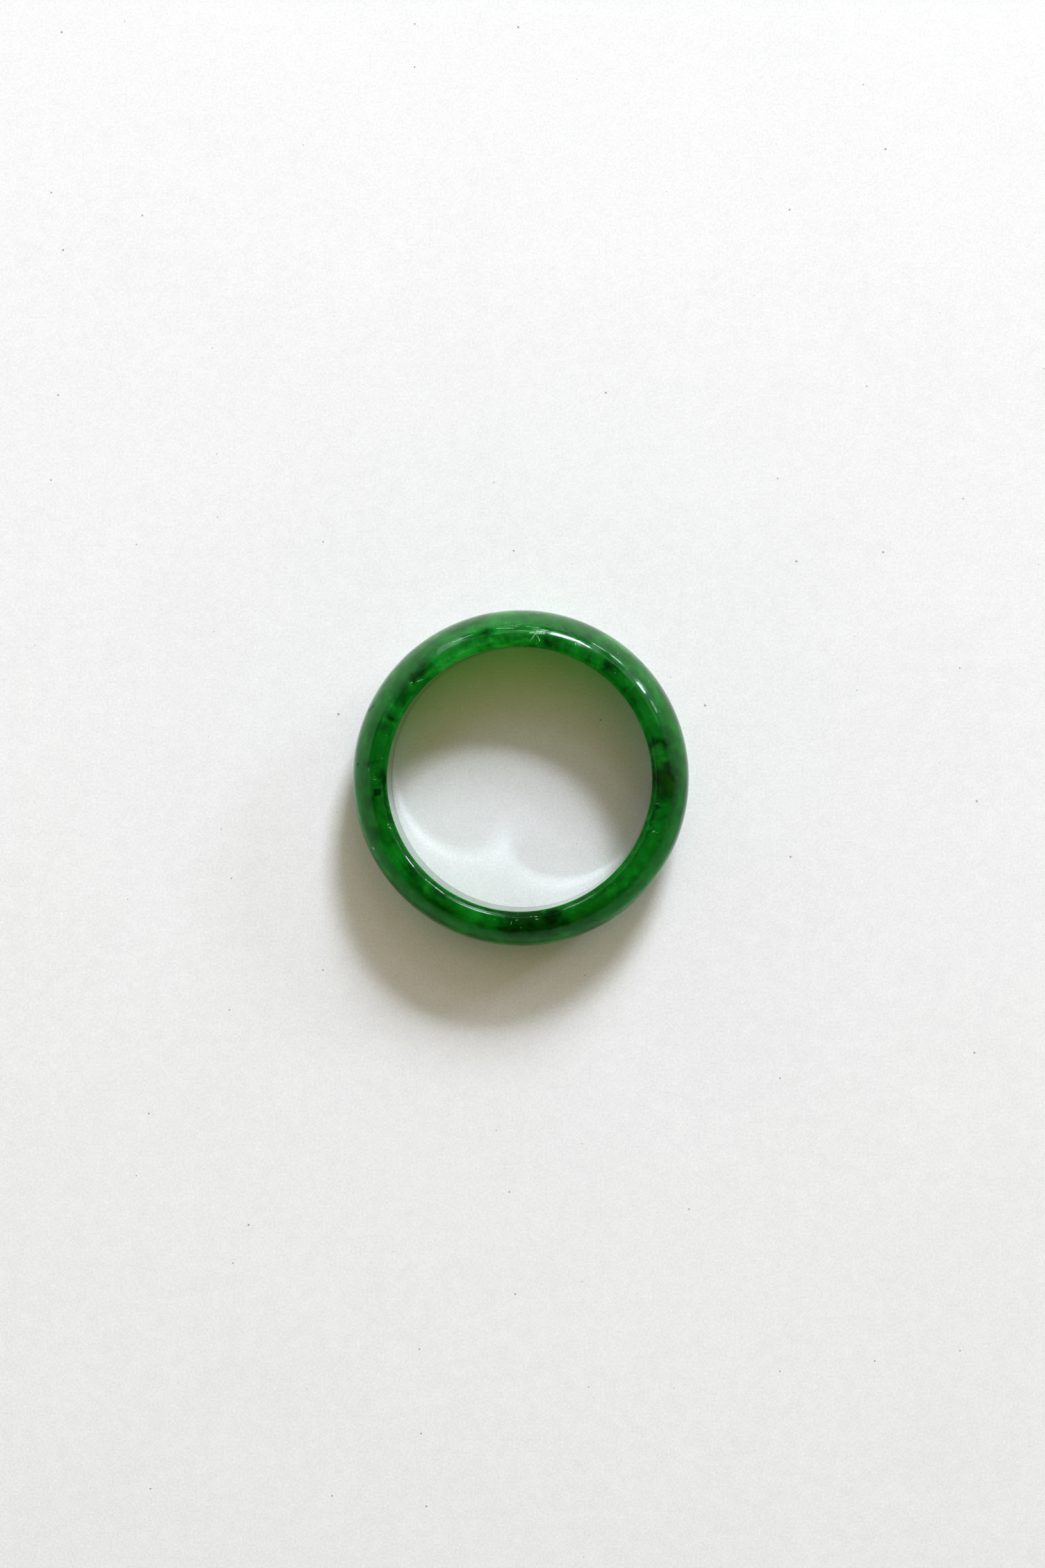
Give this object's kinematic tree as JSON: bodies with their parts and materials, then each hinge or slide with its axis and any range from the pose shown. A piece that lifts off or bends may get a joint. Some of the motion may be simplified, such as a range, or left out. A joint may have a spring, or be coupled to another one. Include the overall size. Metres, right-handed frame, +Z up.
{
  "type": "jade band ring",
  "caption": "Plain solid stone finger ring with a straight cylindrical hole, a barrel-shaped outside and rounded rims.",
  "frame": {"origin": "on the finger hole's axis, in the plane of the lower rim that the ring rests on", "axes": "+Z up along the finger hole's axis; +Y points to the top of the picture and +X to its right"},
  "size_m": [0.0242, 0.0242, 0.006],
  "materials": {
    "jade": "polished, translucent, mottled with darker and paler clouds"
  },
  "bodies": {
    "root": {"jade_band": "jade"}
  },
  "joints": []
}
